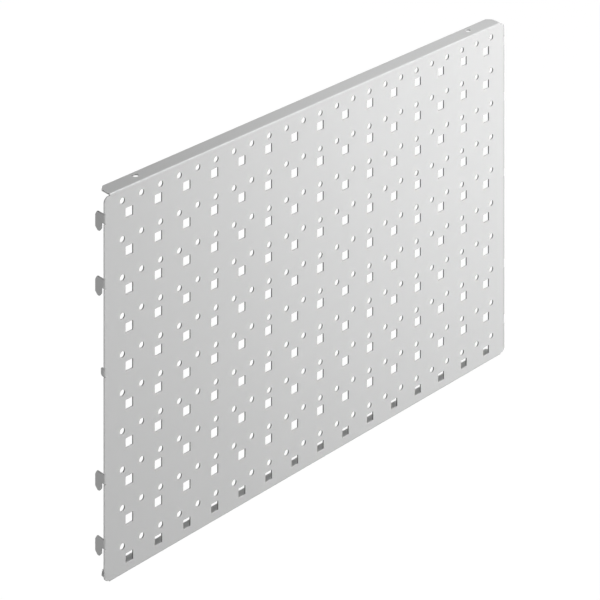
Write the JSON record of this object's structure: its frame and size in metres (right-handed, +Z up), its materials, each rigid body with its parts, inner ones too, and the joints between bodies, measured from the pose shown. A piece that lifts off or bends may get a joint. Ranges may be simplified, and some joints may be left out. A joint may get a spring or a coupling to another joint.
{
  "type": "perforated tool wall panel",
  "caption": "Perforated steel tool-wall panel with square and round peg holes, folded top and bottom flanges, and side hook tabs that hang in slotted uprights.",
  "frame": {"origin": "centre of the rear side of the perforated face sheet, on the mount rear_face", "axes": "+X along the width to the panel's right as seen from the front, +Y backwards from the face towards the uprights, +Z up"},
  "size_m": [0.596, 0.0185, 0.382],
  "materials": {
    "face_coat": "light grey satin powder coat, fine orange peel",
    "flange_coat": "light grey satin powder coat, fine orange peel",
    "tab_coat": "light grey satin powder coat, thinner on the cut edges"
  },
  "bodies": {
    "root": {"perforated_face_sheet": "face_coat", "top_return_flange": "flange_coat", "bottom_return_flange": "flange_coat", "left_hook_tab_1": "tab_coat", "left_hook_tab_2": "tab_coat", "left_hook_tab_3": "tab_coat", "left_hook_tab_4": "tab_coat", "left_locating_tab": "tab_coat", "right_hook_tab_1": "tab_coat", "right_hook_tab_2": "tab_coat", "right_hook_tab_3": "tab_coat", "right_hook_tab_4": "tab_coat", "right_locating_tab": "tab_coat"}
  },
  "joints": []
}
